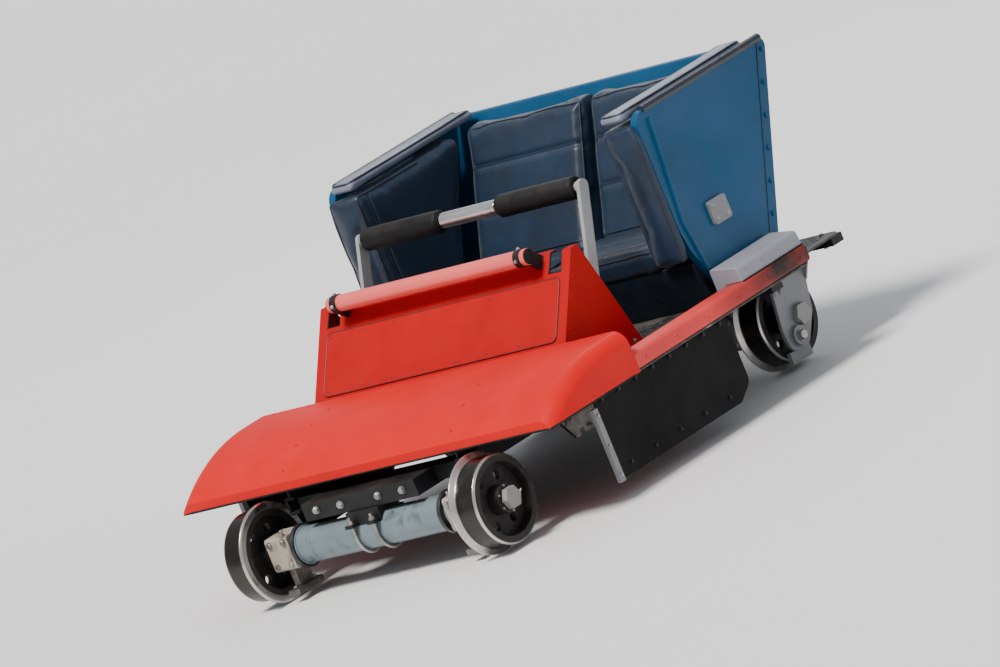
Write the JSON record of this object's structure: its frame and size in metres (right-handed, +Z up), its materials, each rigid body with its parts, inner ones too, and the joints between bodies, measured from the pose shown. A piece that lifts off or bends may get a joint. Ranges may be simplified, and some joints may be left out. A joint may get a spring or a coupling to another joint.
{
  "type": "roller coaster car",
  "caption": "Lead car of an articulated coaster train: bench for two riders, lap bar, red nose and dash, blue seat shell, flanged wheels.",
  "frame": {"origin": "on the floor under the middle of the car's length and width", "axes": "+X forward to the nose, +Y to the car's left, +Z up"},
  "size_m": [1.7479, 1.39, 0.881],
  "materials": {
    "frame_black": "satin black paint, chipped",
    "deck_plate": "tread plate, black paint worn on the lugs",
    "axle_grey": "semi-gloss grey paint",
    "block_cream": "satin light grey-cream paint, greasy",
    "wheel_steel": "rolled bright on the tread and flange, dark on the web",
    "bracket_grey": "satin grey paint",
    "worn_steel": "bare worn steel",
    "nose_red": "gloss red gelcoat",
    "dash_red": "gloss red paint",
    "bar_red": "gloss red paint",
    "sill_red": "satin red paint, darker to the rear",
    "skirt_black": "matte black sheet",
    "cover_lavender": "satin lavender-grey paint",
    "shell_blue": "gloss blue gelcoat",
    "vinyl_navy": "navy marine vinyl, padded",
    "bar_grey": "satin grey paint",
    "foam_black": "black skinned foam",
    "grip_bright": "bright steel sleeve"
  },
  "bodies": {
    "chassis": {"frame_rails": "frame_black", "cross_bars": "frame_black", "king_bolster": "frame_black", "deck": "deck_plate", "drawbar": "frame_black", "rear_axle_tube": "axle_grey", "rear_block_left": "block_cream", "rear_block_right": "block_cream", "rear_bracket_left": "bracket_grey", "rear_bracket_right": "bracket_grey", "brake_fins": "worn_steel", "chain_dog": "worn_steel", "rollback_dog": "worn_steel", "nose_hood": "nose_red", "nose_ribs": "frame_black", "dash_cowl": "dash_red", "dash_bar": "bar_red", "dash_bar_brackets": "frame_black", "sills": "sill_red", "skirt_left": "skirt_black", "skirt_right": "skirt_black", "skirt_straps": "bracket_grey", "wheel_covers": "cover_lavender", "wing_left": "shell_blue", "wing_right": "shell_blue", "wing_plates": "bracket_grey", "bolster_left": "vinyl_navy", "bolster_right": "vinyl_navy", "seat_pan": "shell_blue", "seat_back": "shell_blue", "seat_cushions": "vinyl_navy", "back_cushions": "vinyl_navy", "lap_pivots": "frame_black"},
    "front_truck": {"front_axle_tube": "axle_grey", "axle_saddle": "frame_black", "front_block_left": "block_cream", "front_block_right": "block_cream", "front_rail_shoes": "worn_steel"},
    "front_wheel_left": {"front_wheel_left": "wheel_steel"},
    "front_wheel_right": {"front_wheel_right": "wheel_steel"},
    "rear_wheel_left": {"rear_wheel_left": "wheel_steel"},
    "rear_wheel_right": {"rear_wheel_right": "wheel_steel"},
    "lap_bar": {"lap_bar": "bar_grey", "lap_bar_pads": "foam_black", "lap_bar_grip": "grip_bright"}
  },
  "joints": [
    {"name": "truck_swivel", "type": "hinge", "parent": "chassis", "child": "front_truck", "pos_m": [0.734, 0, 0.2], "axis": [0, 0, 1], "range_deg": [-6, 6]},
    {"name": "front_left_spin", "type": "hinge", "parent": "front_truck", "child": "front_wheel_left", "pos_m": [0.734, 0.427, 0.14], "axis": [0, 1, 0], "continuous": true},
    {"name": "front_right_spin", "type": "hinge", "parent": "front_truck", "child": "front_wheel_right", "pos_m": [0.734, -0.427, 0.14], "axis": [0, 1, 0], "continuous": true},
    {"name": "rear_left_spin", "type": "hinge", "parent": "chassis", "child": "rear_wheel_left", "pos_m": [-0.576, 0.427, 0.14], "axis": [0, 1, 0], "continuous": true},
    {"name": "rear_right_spin", "type": "hinge", "parent": "chassis", "child": "rear_wheel_right", "pos_m": [-0.576, -0.427, 0.14], "axis": [0, 1, 0], "continuous": true},
    {"name": "lap_bar_hinge", "type": "hinge", "parent": "chassis", "child": "lap_bar", "pos_m": [0.099, 0, 0.345], "axis": [0, 1, 0], "range_deg": [0, 30]}
  ]
}
